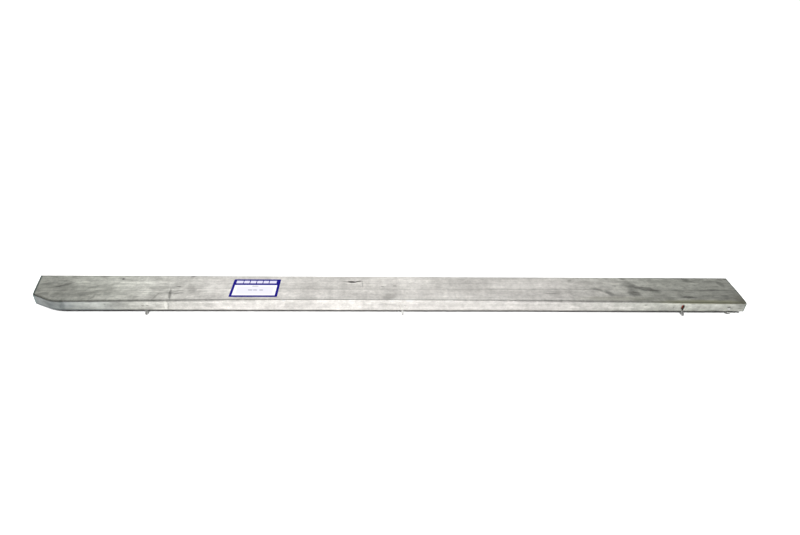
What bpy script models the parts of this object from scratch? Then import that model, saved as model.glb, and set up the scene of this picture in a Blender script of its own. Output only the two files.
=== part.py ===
"""Side capping for the load tub of a utility vehicle, lying on a flat floor.

Metres, +Z up. +X runs along the capping to its square end, -Y is the outer side with the narrow skirt and
+Y the inner side with the deeper lip. The origin is on the floor under the middle of the whole part.
"""

import math

import bmesh
import bpy
from mathutils import Matrix, Vector

# Folded sheet
LENGTH = 1.180
WIDTH = 0.073
HEIGHT = 0.0285  # floor to top face, and so the depth of the inner lip
SKIRT_DEPTH = 0.0195
SHEET = 0.0016
BEND_RADIUS = 0.003  # outside of both folds
BEND_STEPS = 6
GAP = 0.0003  # between pieces that touch on the real part

# Pressed crease along the top face
CREASE_FROM_FRONT = 0.0335
CREASE_WIDTH = 0.0024
CREASE_DEPTH = 0.0002

# Shaped end: a slanted cut, then a chamfer that runs out into the front edge on an arc
END_SLANT = 0.012
CHAMFER_DEPTH = 0.017
CHAMFER_ANGLE = math.radians(25)
CHAMFER_RADIUS = 0.060
CHAMFER_STEPS = 8

# Tie hooks, fixed inside the skirt
HOOK_STATIONS = {"left": -0.396, "middle": 0.019, "right": 0.488}
HOOK_REACH = 0.0044  # how far a tip stands out of the skirt's outer face
HOOK_PLATE_WIDTH = 0.014
HOOK_NECK_WIDTH = 0.0095
HOOK_PRONG_WIDTH = 0.0036
HOOK_TIP_WIDTH = 0.0016
HOOK_PLATE_TOP = 0.0235  # heights are above the floor
HOOK_TAPER_END = 0.0060
HOOK_TIP_ROUND = 0.0012

# Empty fixing slot beside the right hook's rivet
SLOT_OFFSET = -0.0022
SLOT_WIDTH = 0.0026
SLOT_HEIGHT = 0.0084
SLOT_MIDDLE = 0.0145
SLOT_LEAN = math.radians(12)

# Small foot near the square end
TAB_STATION = 0.565
TAB_WIDTH = 0.0108
TAB_REACH = 0.0030
TAB_ROUND = 0.0030
TAB_RIVET_STATION = 0.563

# Rivets
RIVET_SPREAD = 0.0042  # from a hook's middle to each of its rivets
RIVET_HEIGHT = 0.0165
SHANK_RADIUS = 0.0014
HOOK_HEAD = (0.0022, 0.0005)  # radius and height of a nearly flush head
TAB_HEAD = (0.0024, 0.0011)
TAIL_HEIGHT = 0.0010
TAIL_TAPER = 0.8
DOME_STEPS = 4
ROUND_STEPS = 16

# Weld beads inside the chamfered corner
BEAD_RADIUS = 0.0012
SHARP_ANGLE = math.radians(35)

# Paper label on the top face
LABEL_LENGTH = 0.0762
LABEL_WIDTH = 0.0508
LABEL_THICKNESS = 0.0002
LABEL_STATION = -0.225
LABEL_FROM_FRONT = 0.0347

# Places worked out from the sizes above
X_SHAPED = -LENGTH / 2
X_SQUARE = LENGTH / 2
Y_FRONT = (HOOK_REACH - WIDTH) / 2
Y_REAR = Y_FRONT + WIDTH
Y_INSIDE = Y_FRONT + SHEET + GAP  # where a piece fixed inside the skirt begins
Z_TOP = HEIGHT
Z_UNDER = Z_TOP - SHEET
Z_SKIRT = Z_TOP - SKIRT_DEPTH
ARC_RUN = CHAMFER_RADIUS * math.sin(CHAMFER_ANGLE)
ARC_RISE = CHAMFER_RADIUS * (1 - math.cos(CHAMFER_ANGLE))
CHAMFER_RUN = ARC_RUN + (CHAMFER_DEPTH - ARC_RISE) / math.tan(CHAMFER_ANGLE)
X_CHAMFER = X_SHAPED + END_SLANT  # the corner where slant and chamfer meet
X_SEAM = X_CHAMFER + CHAMFER_RUN
CLEAR = 0.02  # how far a cutter reaches past the part
INWARD = Vector((0, 1, 0))  # from the skirt to the inside of the capping
DOWN = Vector((0, 0, -1))


def clear_scene():
    for obj in list(bpy.data.objects):
        bpy.data.objects.remove(obj, do_unlink=True)


def new_collection(name):
    collection = bpy.data.collections.new(name)
    bpy.context.scene.collection.children.link(collection)
    return collection


def metal_finish(name, colour, metallic, roughness):
    material = bpy.data.materials.new(name)
    material.use_nodes = True
    shader = material.node_tree.nodes["Principled BSDF"]
    shader.inputs["Base Color"].default_value = (*colour, 1)
    shader.inputs["Metallic"].default_value = metallic
    shader.inputs["Roughness"].default_value = roughness
    return material


def add_object(name, mesh, collection, material=None):
    obj = bpy.data.objects.new(name, mesh)
    collection.objects.link(obj)
    if material:
        mesh.materials.append(material)
    return obj


def mesh_from(bm, name):
    mesh = bpy.data.meshes.new(name)
    bm.to_mesh(mesh)
    bm.free()
    return mesh


def solid_from_curve(curve, name, matrix, collection, material=None):
    """Makes a mesh object of a curve with loose caps, and removes the curve."""
    guide = bpy.data.objects.new(name + "_curve", curve)
    collection.objects.link(guide)
    guide.matrix_world = matrix
    bpy.context.view_layer.update()
    evaluated = guide.evaluated_get(bpy.context.evaluated_depsgraph_get())
    mesh = bpy.data.meshes.new_from_object(evaluated)
    bpy.data.objects.remove(guide, do_unlink=True)
    bm = bmesh.new()
    bm.from_mesh(mesh)
    bmesh.ops.remove_doubles(bm, verts=bm.verts, dist=1e-6)
    bm.to_mesh(mesh)
    bm.free()
    mesh.materials.clear()
    obj = add_object(name, mesh, collection, material)
    obj.matrix_world = matrix
    return obj


def flat_plate(name, outline, thickness, matrix, collection, material=None):
    """A plate with this closed outline in its own XY plane, half its thickness on each side of it."""
    curve = bpy.data.curves.new(name, "CURVE")
    curve.dimensions = "2D"
    curve.fill_mode = "BOTH"
    curve.extrude = thickness / 2
    spline = curve.splines.new("POLY")
    spline.points.add(len(outline) - 1)
    for point, (x, y) in zip(spline.points, outline):
        point.co = (x, y, 0, 1)
    spline.use_cyclic_u = True
    return solid_from_curve(curve, name, matrix, collection, material)


def weld_bead(name, path, collection, material):
    curve = bpy.data.curves.new(name, "CURVE")
    curve.dimensions = "3D"
    curve.bevel_depth = BEAD_RADIUS
    curve.bevel_resolution = 2
    curve.use_fill_caps = True
    spline = curve.splines.new("POLY")
    spline.points.add(len(path) - 1)
    for point, place in zip(spline.points, path):
        point.co = (*place, 1)
    bead = solid_from_curve(curve, name, Matrix(), collection, material)
    bead.data.shade_smooth()
    bead.data.set_sharp_from_angle(angle=SHARP_ANGLE)


def swept_sheet(name, path, sweep, inward, collection, material):
    """The path's points joined up and swept along one vector, then thickened to one side, roughly inward."""
    bm = bmesh.new()
    corners = [bm.verts.new(point) for point in path]
    edges = [bm.edges.new(pair) for pair in zip(corners, corners[1:])]
    swept = bmesh.ops.extrude_edge_only(bm, edges=edges)["geom"]
    moved = [item for item in swept if isinstance(item, bmesh.types.BMVert)]
    bmesh.ops.translate(bm, verts=moved, vec=sweep)
    bmesh.ops.recalc_face_normals(bm, faces=bm.faces)
    facing = sum(face.calc_area() * face.normal.dot(inward) for face in bm.faces)
    obj = add_object(name, mesh_from(bm, name), collection, material)
    solidify = obj.modifiers.new("sheet", "SOLIDIFY")
    solidify.thickness = SHEET
    solidify.offset = 1 if facing > 0 else -1
    solidify.use_even_offset = True
    return obj


def cut(obj, cutter, operation="DIFFERENCE"):
    boolean = obj.modifiers.new(cutter.name, "BOOLEAN")
    boolean.operation = operation
    boolean.object = cutter
    boolean.solver = "EXACT"


def as_cutter(obj):
    obj.hide_render = True
    obj.display_type = "WIRE"
    return obj


def box_cutter(name, low, high, cutters):
    bm = bmesh.new()
    bmesh.ops.create_cube(bm, size=1)
    size = [top - bottom for bottom, top in zip(low, high)]
    middle = [(top + bottom) / 2 for bottom, top in zip(low, high)]
    bmesh.ops.scale(bm, verts=bm.verts, vec=size)
    bmesh.ops.translate(bm, verts=bm.verts, vec=middle)
    return as_cutter(add_object(name, mesh_from(bm, name), cutters))


def facing_front(x, y, z):
    """Turns a shape drawn in XY so that it is seen from the front: its +Y points up and its +Z to the viewer."""
    return Matrix.Translation((x, y, z)) @ Matrix.Rotation(math.radians(90), 4, "X")


def rivet_hole(station, cutters):
    """A round clearance hole through the skirt and whatever is fixed inside it."""
    bm = bmesh.new()
    bmesh.ops.create_cone(
        bm,
        cap_ends=True,
        segments=ROUND_STEPS,
        radius1=SHANK_RADIUS + GAP,
        radius2=SHANK_RADIUS + GAP,
        depth=CLEAR,
    )
    name = f"hole_{len(cutters.objects)}"
    hole = as_cutter(add_object(name, mesh_from(bm, name), cutters))
    hole.matrix_world = facing_front(station, Y_FRONT, RIVET_HEIGHT)
    return hole


def folded_profile():
    """The sheet's outer surface across the capping, as (y, z) from the skirt's edge to the lip's."""
    profile = [(Y_FRONT, Z_SKIRT)]
    quarter = [math.pi / 2 * step / BEND_STEPS for step in range(BEND_STEPS + 1)]
    for angle in quarter:
        y = Y_FRONT + BEND_RADIUS * (1 - math.cos(angle))
        z = Z_TOP - BEND_RADIUS * (1 - math.sin(angle))
        profile.append((y, z))
    crease = Y_FRONT + CREASE_FROM_FRONT
    profile.append((crease - CREASE_WIDTH / 2, Z_TOP))
    profile.append((crease, Z_TOP - CREASE_DEPTH))
    profile.append((crease + CREASE_WIDTH / 2, Z_TOP))
    for angle in quarter:
        y = Y_REAR - BEND_RADIUS * (1 - math.sin(angle))
        z = Z_TOP - BEND_RADIUS * (1 - math.cos(angle))
        profile.append((y, z))
    profile.append((Y_REAR, 0))
    return profile


def chamfer_outline():
    """The chamfered corner in plan, from the seam on the front edge to the corner with the slanted end."""
    outline = []
    for step in range(CHAMFER_STEPS + 1):
        angle = CHAMFER_ANGLE * step / CHAMFER_STEPS
        x = X_SEAM - CHAMFER_RADIUS * math.sin(angle)
        y = Y_FRONT + CHAMFER_RADIUS * (1 - math.cos(angle))
        outline.append((x, y))
    outline.append((X_CHAMFER, Y_FRONT + CHAMFER_DEPTH))
    return outline


def inset_chamfer(distance):
    """The chamfer outline moved towards the inside of the capping."""
    outline = chamfer_outline()
    moved = []
    for index, (x, y) in enumerate(outline):
        angle = CHAMFER_ANGLE * min(index, CHAMFER_STEPS) / CHAMFER_STEPS
        moved.append((x + distance * math.sin(angle), y + distance * math.cos(angle)))
    return moved


def shaped_end_cutters(cutters):
    """What is cut away at the shaped end: all that is outside its outline, and the skirt up to the seam."""
    slope = END_SLANT / (WIDTH - CHAMFER_DEPTH)
    outside = chamfer_outline()
    outside.append((X_SHAPED - slope * CLEAR, Y_REAR + CLEAR))
    outside.append((X_SHAPED - CLEAR, Y_REAR + CLEAR))
    outside.append((X_SHAPED - CLEAR, Y_FRONT - CLEAR))
    outside.append((X_SEAM, Y_FRONT - CLEAR))
    height = HEIGHT + 2 * CLEAR
    place = Matrix.Translation((0, 0, HEIGHT / 2))
    end = as_cutter(flat_plate("shaped_end", outside, height, place, cutters))
    low = (X_SHAPED - CLEAR, Y_FRONT - CLEAR, -CLEAR)
    high = (X_SEAM, Y_FRONT + CHAMFER_DEPTH + 2 * SHEET, Z_UNDER - GAP / 3)
    return [end, box_cutter("skirt_end", low, high, cutters)]


def capping_panel(holes, slot, parts, cutters, material):
    path = [(X_SHAPED, y, z) for y, z in folded_profile()]
    panel = swept_sheet("capping_panel", path, (LENGTH, 0, 0), DOWN, parts, material)
    for cutter in shaped_end_cutters(cutters) + holes + [slot]:
        cut(panel, cutter)


def corner_skirt(parts, material):
    """The curved strip that carries the skirt round the chamfer, under the top face's edge."""
    path = [(x, y, Z_SKIRT) for x, y in chamfer_outline()]
    path[0] = (X_SEAM - GAP, Y_FRONT, Z_SKIRT)
    rise = Z_UNDER - 2 * GAP - Z_SKIRT
    swept_sheet("corner_skirt", path, (0, 0, rise), INWARD, parts, material)


def corner_welds(parts, material):
    """One bead along the top of the corner strip and one down its seam, both on the inside."""
    inset = inset_chamfer(SHEET + GAP + BEAD_RADIUS)
    height = Z_UNDER - 2 * GAP - BEAD_RADIUS
    top_path = [(x, y, height) for x, y in inset[1:]]
    weld_bead("corner_weld_top", top_path, parts, material)
    seam_y = Y_INSIDE + BEAD_RADIUS
    seam_top = Z_UNDER - BEND_RADIUS
    seam_path = [(X_SEAM, seam_y, Z_SKIRT + SHEET), (X_SEAM, seam_y, seam_top)]
    weld_bead("corner_weld_seam", seam_path, parts, material)


def hook_outline():
    """A hook seen from the front, in (x, z): a plate, a taper and a blunt prong."""
    right = [
        (HOOK_TIP_WIDTH / 2, 0),
        (HOOK_PRONG_WIDTH / 2, HOOK_TIP_ROUND),
        (HOOK_PRONG_WIDTH / 2, HOOK_TAPER_END),
        (HOOK_NECK_WIDTH / 2, Z_SKIRT),
        (HOOK_PLATE_WIDTH / 2, Z_SKIRT + SHEET),
        (HOOK_PLATE_WIDTH / 2, HOOK_PLATE_TOP),
    ]
    left = [(-x, z) for x, z in reversed(right)]
    return right + left


def tie_hook(side, station, holes, slot, parts, cutters, material):
    bend = Z_SKIRT - SHEET / 2
    steepness = (HOOK_REACH + SHEET + GAP) / bend
    below = 2 * SHEET  # the blank is longer than the finished prong
    path = [
        (station - HOOK_PLATE_WIDTH, Y_FRONT - HOOK_REACH - below * steepness, -below),
        (station - HOOK_PLATE_WIDTH, Y_INSIDE, bend),
        (station - HOOK_PLATE_WIDTH, Y_INSIDE, HOOK_PLATE_TOP + CLEAR),
    ]
    sweep = (2 * HOOK_PLATE_WIDTH, 0, 0)
    hook = swept_sheet(f"tie_hook_{side}", path, sweep, INWARD, parts, material)
    place = facing_front(station, Y_FRONT, 0)
    name = f"hook_outline_{side}"
    blank = as_cutter(flat_plate(name, hook_outline(), 2 * CLEAR, place, cutters))
    cut(hook, blank, "INTERSECT")
    for cutter in holes:
        cut(hook, cutter)
    if side == "right":
        cut(hook, slot)


def fixing_slot(cutters):
    """The leaning slot with round ends, right through the skirt and the right hook's plate."""
    radius = SLOT_WIDTH / 2
    straight = SLOT_HEIGHT / 2 - radius
    outline = []
    for end, start in ((1, 0), (-1, math.pi)):
        for step in range(ROUND_STEPS // 2 + 1):
            angle = start + math.pi * step / (ROUND_STEPS // 2)
            outline.append((radius * math.cos(angle), end * straight + radius * math.sin(angle)))
    middle = facing_front(HOOK_STATIONS["right"] + SLOT_OFFSET, Y_FRONT, SLOT_MIDDLE)
    place = middle @ Matrix.Rotation(-SLOT_LEAN, 4, "Z")
    return as_cutter(flat_plate("fixing_slot", outline, CLEAR, place, cutters))


def rivet(name, station, head, parts, material):
    """A turned rivet: a domed head in front of the skirt, a shank and a flattened tail inside."""
    radius, height = head
    dome = []
    for step in range(DOME_STEPS + 1):
        angle = math.pi / 2 * step / DOME_STEPS
        dome.append((radius * math.sin(angle), GAP + height * math.cos(angle)))
    inside = -2 * (SHEET + GAP)
    shank = [(SHANK_RADIUS, GAP), (SHANK_RADIUS, inside)]
    tail = [(radius, inside), (radius * TAIL_TAPER, inside - TAIL_HEIGHT), (0, inside - TAIL_HEIGHT)]
    bm = bmesh.new()
    corners = [bm.verts.new((x, 0, z)) for x, z in dome + shank + tail]
    for pair in zip(corners, corners[1:]):
        bm.edges.new(pair)
    obj = add_object(name, mesh_from(bm, name), parts, material)
    screw = obj.modifiers.new("turn", "SCREW")
    screw.steps = ROUND_STEPS
    screw.render_steps = ROUND_STEPS
    screw.use_merge_vertices = True
    screw.merge_threshold = 0.00001
    screw.use_smooth_shade = True
    obj.matrix_world = facing_front(station, Y_FRONT, RIVET_HEIGHT)


def end_tab(hole, parts, material):
    """A strip fixed inside the skirt whose foot turns out under the skirt's edge."""
    edge = TAB_STATION - TAB_WIDTH / 2
    foot = Z_SKIRT - 2 * GAP
    path = [
        (edge, Y_FRONT - TAB_REACH, foot - SHEET / 2),
        (edge, Y_FRONT + SHEET, foot),
        (edge, Y_INSIDE, foot + GAP),
        (edge, Y_INSIDE, HOOK_PLATE_TOP),
    ]
    tab = swept_sheet("end_tab", path, (TAB_WIDTH, 0, 0), INWARD, parts, material)
    bm = bmesh.new()
    bm.from_mesh(tab.data)
    tips = [vert for vert in bm.verts if vert.co.y < Y_FRONT]
    bmesh.ops.bevel(bm, geom=tips, offset=TAB_ROUND, segments=4, profile=0.5, affect="VERTICES")
    bm.to_mesh(tab.data)
    bm.free()
    cut(tab, hole)


def parts_label(parts, material):
    half_x = LABEL_LENGTH / 2
    half_y = LABEL_WIDTH / 2
    outline = [(-half_x, -half_y), (half_x, -half_y), (half_x, half_y), (-half_x, half_y)]
    height = Z_TOP + GAP + LABEL_THICKNESS / 2
    place = Matrix.Translation((LABEL_STATION, Y_FRONT + LABEL_FROM_FRONT, height))
    flat_plate("parts_label", outline, LABEL_THICKNESS, place, parts, material)


def main():
    clear_scene()
    parts = new_collection("tub_side_capping")
    cutters = new_collection("cutters")
    sheet_metal = metal_finish("galvanised_sheet", (0.62, 0.62, 0.59), 0.9, 0.5)
    fixing_metal = metal_finish("galvanised_fixing", (0.55, 0.55, 0.53), 0.9, 0.45)
    weld_metal = metal_finish("weld_bead", (0.42, 0.42, 0.41), 0.9, 0.6)
    paper = metal_finish("printed_label", (0.85, 0.86, 0.9), 0.0, 0.6)

    slot = fixing_slot(cutters)
    tab_hole = rivet_hole(TAB_RIVET_STATION, cutters)
    all_holes = [tab_hole]
    for side, station in HOOK_STATIONS.items():
        # The right hook's left fixing is the empty slot.
        offsets = (RIVET_SPREAD,) if side == "right" else (-RIVET_SPREAD, RIVET_SPREAD)
        holes = [rivet_hole(station + offset, cutters) for offset in offsets]
        tie_hook(side, station, holes, slot, parts, cutters, fixing_metal)
        for offset in offsets:
            name = f"{side}_hook_rivet_{1 if offset < 0 else 2}"
            rivet(name, station + offset, HOOK_HEAD, parts, fixing_metal)
        all_holes += holes
    capping_panel(all_holes, slot, parts, cutters, sheet_metal)
    corner_skirt(parts, sheet_metal)
    corner_welds(parts, weld_metal)
    end_tab(tab_hole, parts, fixing_metal)
    rivet("end_tab_rivet", TAB_RIVET_STATION, TAB_HEAD, parts, fixing_metal)
    parts_label(parts, paper)


main()
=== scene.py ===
"""Looks for the tub side capping: fine sheet-metal meshes, galvanised and printed materials, studio and camera.

Metres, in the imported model's frame: +X along the capping to its square end, -Y towards the camera, +Z up.
"""

import math

import bmesh
import bpy
from mathutils import Matrix, Vector, noise


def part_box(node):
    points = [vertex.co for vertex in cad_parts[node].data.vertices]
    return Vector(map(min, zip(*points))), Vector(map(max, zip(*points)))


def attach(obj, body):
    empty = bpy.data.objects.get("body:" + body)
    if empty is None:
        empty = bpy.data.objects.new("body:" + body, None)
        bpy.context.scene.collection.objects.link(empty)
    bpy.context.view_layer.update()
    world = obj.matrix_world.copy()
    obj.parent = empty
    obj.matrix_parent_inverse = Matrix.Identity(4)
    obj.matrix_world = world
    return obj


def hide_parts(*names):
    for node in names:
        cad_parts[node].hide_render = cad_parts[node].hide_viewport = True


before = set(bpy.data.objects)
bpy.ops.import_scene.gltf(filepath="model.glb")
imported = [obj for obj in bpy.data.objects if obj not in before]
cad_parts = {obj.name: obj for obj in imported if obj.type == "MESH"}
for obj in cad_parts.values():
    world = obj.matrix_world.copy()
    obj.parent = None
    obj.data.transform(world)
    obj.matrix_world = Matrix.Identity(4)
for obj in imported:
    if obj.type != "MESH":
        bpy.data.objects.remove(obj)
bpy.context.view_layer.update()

# ---------------------------------------------------------------- places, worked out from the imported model

PANEL_LOW, PANEL_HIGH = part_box("capping_panel")
CORNER_LOW, CORNER_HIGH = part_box("corner_skirt")
LABEL_LOW, LABEL_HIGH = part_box("parts_label")
TAB_LOW, TAB_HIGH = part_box("end_tab")
SHEET = 0.0016
GAP = 0.0003  # between pieces that touch on the real part
BEND_RADIUS = 0.003  # outside of the front bend
REAR_RADIUS = 0.0014
END_SLANT = 0.012
CHAMFER_DEPTH = 0.017
X_SHAPED, Y_FRONT = PANEL_LOW.x, CORNER_LOW.y
X_SQUARE, Y_REAR, Z_TOP = PANEL_HIGH
Z_SKIRT = CORNER_LOW.z
Y_INSIDE = Y_FRONT + SHEET + GAP
X_SEAM = CORNER_HIGH.x + GAP
X_CHAMFER = X_SHAPED + END_SLANT
Y_CHAMFER = Y_FRONT + CHAMFER_DEPTH
END_SLOPE = (X_SHAPED - X_CHAMFER) / (Y_REAR - Y_CHAMFER)
CHAMFER_ANGLE = math.radians(25)
CHAMFER_RADIUS = 0.060
CREASE_Y = Y_FRONT + 0.0335  # a fine crease runs the length of the top
CREASE_DEPTH = 0.00016
CREASE_HALF_WIDTH = 0.0016
HOOK_RIVETS = (
    "left_hook_rivet_1",
    "left_hook_rivet_2",
    "middle_hook_rivet_1",
    "middle_hook_rivet_2",
    "right_hook_rivet_2",
)
TAB_RIVET = "end_tab_rivet"
STRAIGHT_HALF = 0.20  # the middle of the capping, this far each way, hasn't settled
END_SINK = 0.0020
END_SPREAD = 0.0029
SETTLING = 1.4  # how late along the ends the settling sets in
EDGE_SHARE = 0.45  # the skirt's edge spreads this share of what the fold does
SHARP = math.radians(40)
INWARD = Vector((0, 1, 0))
DOWN = Vector((0, 0, -1))


# ---------------------------------------------------------------- mesh helpers


def place_object(name, mesh, material):
    obj = bpy.data.objects.new(name, mesh)
    bpy.context.scene.collection.objects.link(obj)
    mesh.materials.clear()
    mesh.materials.append(material)
    return obj


def smooth(mesh):
    mesh.shade_smooth()
    mesh.set_sharp_from_angle(angle=SHARP)


def mesh_from(bm, name):
    mesh = bpy.data.meshes.new(name)
    bm.to_mesh(mesh)
    bm.free()
    return mesh


def grid_mesh(name, rows, inward, closed=False):
    """Quads between rows of points, facing away from the inward vector."""
    bm = bmesh.new()
    grid = [[bm.verts.new(point) for point in row] for row in rows]
    for upper, lower in zip(grid, grid[1:]):
        pairs = list(zip(upper, upper[1:], lower[1:], lower))
        if closed:
            pairs.append((upper[-1], upper[0], lower[0], lower[-1]))
        for corners in pairs:
            bm.faces.new(corners)
    if closed:
        bm.faces.new(grid[0])
        bm.faces.new(reversed(grid[-1]))
        bmesh.ops.recalc_face_normals(bm, faces=bm.faces)
    else:
        bm.normal_update()
        if sum(face.calc_area() * face.normal.dot(inward) for face in bm.faces) > 0:
            bmesh.ops.reverse_faces(bm, faces=bm.faces)
    return mesh_from(bm, name)


def bake(obj):
    """Turns an object's modifiers into its mesh."""
    evaluated = obj.evaluated_get(bpy.context.evaluated_depsgraph_get())
    mesh = bpy.data.meshes.new_from_object(evaluated)
    old = obj.data
    obj.modifiers.clear()
    obj.data = mesh
    bpy.data.meshes.remove(old)


def sheet_piece(name, rows, inward, material, openings=None, thickness=SHEET):
    """A grid of points thickened into sheet metal, with its openings cut through."""
    obj = place_object(name, grid_mesh(name, rows, inward), material)
    solidify = obj.modifiers.new("sheet", "SOLIDIFY")
    solidify.thickness = thickness
    solidify.offset = -1
    solidify.use_even_offset = True
    if openings:
        boolean = obj.modifiers.new("openings", "BOOLEAN")
        boolean.object = openings
        boolean.solver = "EXACT"
    bake(obj)
    return obj


def ease_rims(obj, width):
    """Takes the sharpness off cut edges."""
    bevel = obj.modifiers.new("eased_rims", "BEVEL")
    bevel.width = width
    bevel.segments = 2
    bevel.limit_method = "ANGLE"
    bevel.angle_limit = SHARP
    bake(obj)
    obj.data.shade_smooth()
    normals = obj.modifiers.new("flat_faces", "WEIGHTED_NORMAL")
    normals.keep_sharp = True


def steps(low, high, count):
    """Count + 1 even steps from low to high."""
    return [low + (high - low) * step / count for step in range(count + 1)]


def ease(value):
    """0 below 0, 1 above 1 and a smooth rise between them."""
    value = min(max(value, 0), 1)
    return value * value * (3 - 2 * value)


def settled(point):
    """The ends have sunk and spread a little along the front fold, the skirt's edge less than the fold."""
    end = max(0, (abs(point.x) - STRAIGHT_HALF) / (X_SQUARE - STRAIGHT_HALF)) ** SETTLING
    forward = min(max((Y_REAR - point.y) / (Y_REAR - Y_FRONT), 0), 1)
    height = (point.z - Z_SKIRT) / (Z_TOP - Z_SKIRT)
    grip = min(max(point.z / Z_SKIRT, 0), 1)
    height = min(max(height, 0), 1)
    spread = END_SPREAD * forward**3 * (EDGE_SHARE + (1 - EDGE_SHARE) * height) * grip
    sink = END_SINK * forward**3 * height
    return Vector((point.x, point.y - end * spread, point.z - end * sink))


def own(piece, node):
    """Settles a piece, keeps it inside the CAD's box and puts it in its CAD node's place."""
    for vertex in piece.data.vertices:
        x, y, z = settled(vertex.co)
        vertex.co = (min(max(x, X_SHAPED), X_SQUARE), y, max(z, 0))
    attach(piece, "root")
    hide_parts(node)


# ---------------------------------------------------------------- material helper


class Surface:
    """A procedural material while it is wired up: the methods add nodes and give back their outputs."""

    def __init__(self, name, metallic):
        self.material = bpy.data.materials.new(name)
        self.material.use_nodes = True
        self.nodes = self.material.node_tree.nodes
        self.links = self.material.node_tree.links
        self.shader = self.nodes["Principled BSDF"]
        self.shader.inputs["Metallic"].default_value = metallic
        self.place = self.nodes.new("ShaderNodeTexCoord").outputs["Object"]

    def plug(self, socket, value):
        if isinstance(value, bpy.types.NodeSocket):
            self.links.new(value, socket)
        else:
            socket.default_value = value

    def math(self, operation, first, second=0.0):
        node = self.nodes.new("ShaderNodeMath")
        node.operation = operation
        self.plug(node.inputs[0], first)
        self.plug(node.inputs[1], second)
        return node.outputs[0]

    def times(self, first, second):
        return self.math("MULTIPLY", first, second)

    def raised(self, tone, light, base=1.0):
        """The tone, lighter by this share."""
        return self.times(tone, self.math("ADD", base, light))

    def lowered(self, tone, dark, base=1.0):
        """The tone, darker by this share."""
        return self.times(tone, self.math("SUBTRACT", base, dark))

    def vector(self, operation, first, second):
        node = self.nodes.new("ShaderNodeVectorMath")
        node.operation = operation
        self.plug(node.inputs[0], first)
        self.plug(node.inputs["Scale"] if operation == "SCALE" else node.inputs[1], second)
        return node.outputs[0]

    def axes(self, vector=None):
        node = self.nodes.new("ShaderNodeSeparateXYZ")
        self.plug(node.inputs[0], vector or self.place)
        return node.outputs[0], node.outputs[1], node.outputs[2]

    def noise(self, scale, detail=3.0, roughness=0.5, shift=0.0, turn=0.0, coloured=False):
        """Noise whose features are about 1 / scale long on each axis, with the axes turned about Z."""
        mapping = self.nodes.new("ShaderNodeMapping")
        mapping.inputs["Rotation"].default_value = (0, 0, math.radians(turn))
        mapping.inputs["Location"].default_value = (shift, shift, shift)
        mapping.inputs["Scale"].default_value = scale
        self.plug(mapping.inputs["Vector"], self.place)
        node = self.nodes.new("ShaderNodeTexNoise")
        node.inputs["Scale"].default_value = 1
        node.inputs["Detail"].default_value = detail
        node.inputs["Roughness"].default_value = roughness
        self.plug(node.inputs["Vector"], mapping.outputs["Vector"])
        return node.outputs["Color" if coloured else "Fac"]

    def cells(self, scale):
        node = self.nodes.new("ShaderNodeTexVoronoi")
        node.inputs["Scale"].default_value = scale
        self.plug(node.inputs["Vector"], self.place)
        return self.axes(node.outputs["Color"])[0]

    def remap(self, value, from_low, from_high, to_low, to_high, curve="SMOOTHSTEP"):
        node = self.nodes.new("ShaderNodeMapRange")
        node.interpolation_type = curve
        self.plug(node.inputs["Value"], value)
        names = ("From Min", "From Max", "To Min", "To Max")
        for name, number in zip(names, (from_low, from_high, to_low, to_high)):
            node.inputs[name].default_value = number
        return node.outputs["Result"]

    def ellipse(self, vector, middle, half_size, turn=(0, 0, 0), feather=0.5):
        """1 inside an ellipsoid and 0 outside it, with a soft edge."""
        mapping = self.nodes.new("ShaderNodeMapping")
        mapping.vector_type = "TEXTURE"
        mapping.inputs["Location"].default_value = middle
        mapping.inputs["Rotation"].default_value = [math.radians(angle) for angle in turn]
        mapping.inputs["Scale"].default_value = half_size
        self.plug(mapping.inputs["Vector"], vector)
        length = self.nodes.new("ShaderNodeVectorMath")
        length.operation = "LENGTH"
        self.plug(length.inputs[0], mapping.outputs["Vector"])
        return self.remap(length.outputs["Value"], 1 - feather, 1 + feather, 1, 0)

    def curve(self, value, stops):
        """A smooth curve through (place, grey level) stops along one axis."""
        low, high = stops[0][0], stops[-1][0]
        node = self.nodes.new("ShaderNodeValToRGB")
        ramp = node.color_ramp
        ramp.interpolation = "EASE"
        ramp.elements[0].color = (stops[0][1], stops[0][1], stops[0][1], 1)
        ramp.elements[-1].color = (stops[-1][1], stops[-1][1], stops[-1][1], 1)
        for place, grey in stops[1:-1]:
            ramp.elements.new((place - low) / (high - low)).color = (grey, grey, grey, 1)
        self.plug(node.inputs["Fac"], self.remap(value, low, high, 0, 1, "LINEAR"))
        return node.outputs["Color"]

    def mix(self, factor, first, second):
        node = self.nodes.new("ShaderNodeMix")
        node.data_type = "RGBA"
        colours = [socket for socket in node.inputs if socket.type == "RGBA"]
        self.plug(node.inputs[0], factor)
        self.plug(colours[0], first)
        self.plug(colours[1], second)
        return next(socket for socket in node.outputs if socket.type == "RGBA")

    def bump(self, height, distance, strength):
        node = self.nodes.new("ShaderNodeBump")
        node.inputs["Strength"].default_value = strength
        node.inputs["Distance"].default_value = distance
        self.plug(node.inputs["Height"], height)
        self.links.new(node.outputs["Normal"], self.shader.inputs["Normal"])

    def finish(self, colour, roughness):
        self.plug(self.shader.inputs["Base Color"], colour)
        self.plug(self.shader.inputs["Roughness"], roughness)
        return self.material


# ---------------------------------------------------------------- galvanised sheet

WARM_ZINC = (0.735, 0.712, 0.677, 1)  # in the middle of the capping
GREEN_ZINC = (0.702, 0.712, 0.645, 1)  # towards both ends

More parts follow.
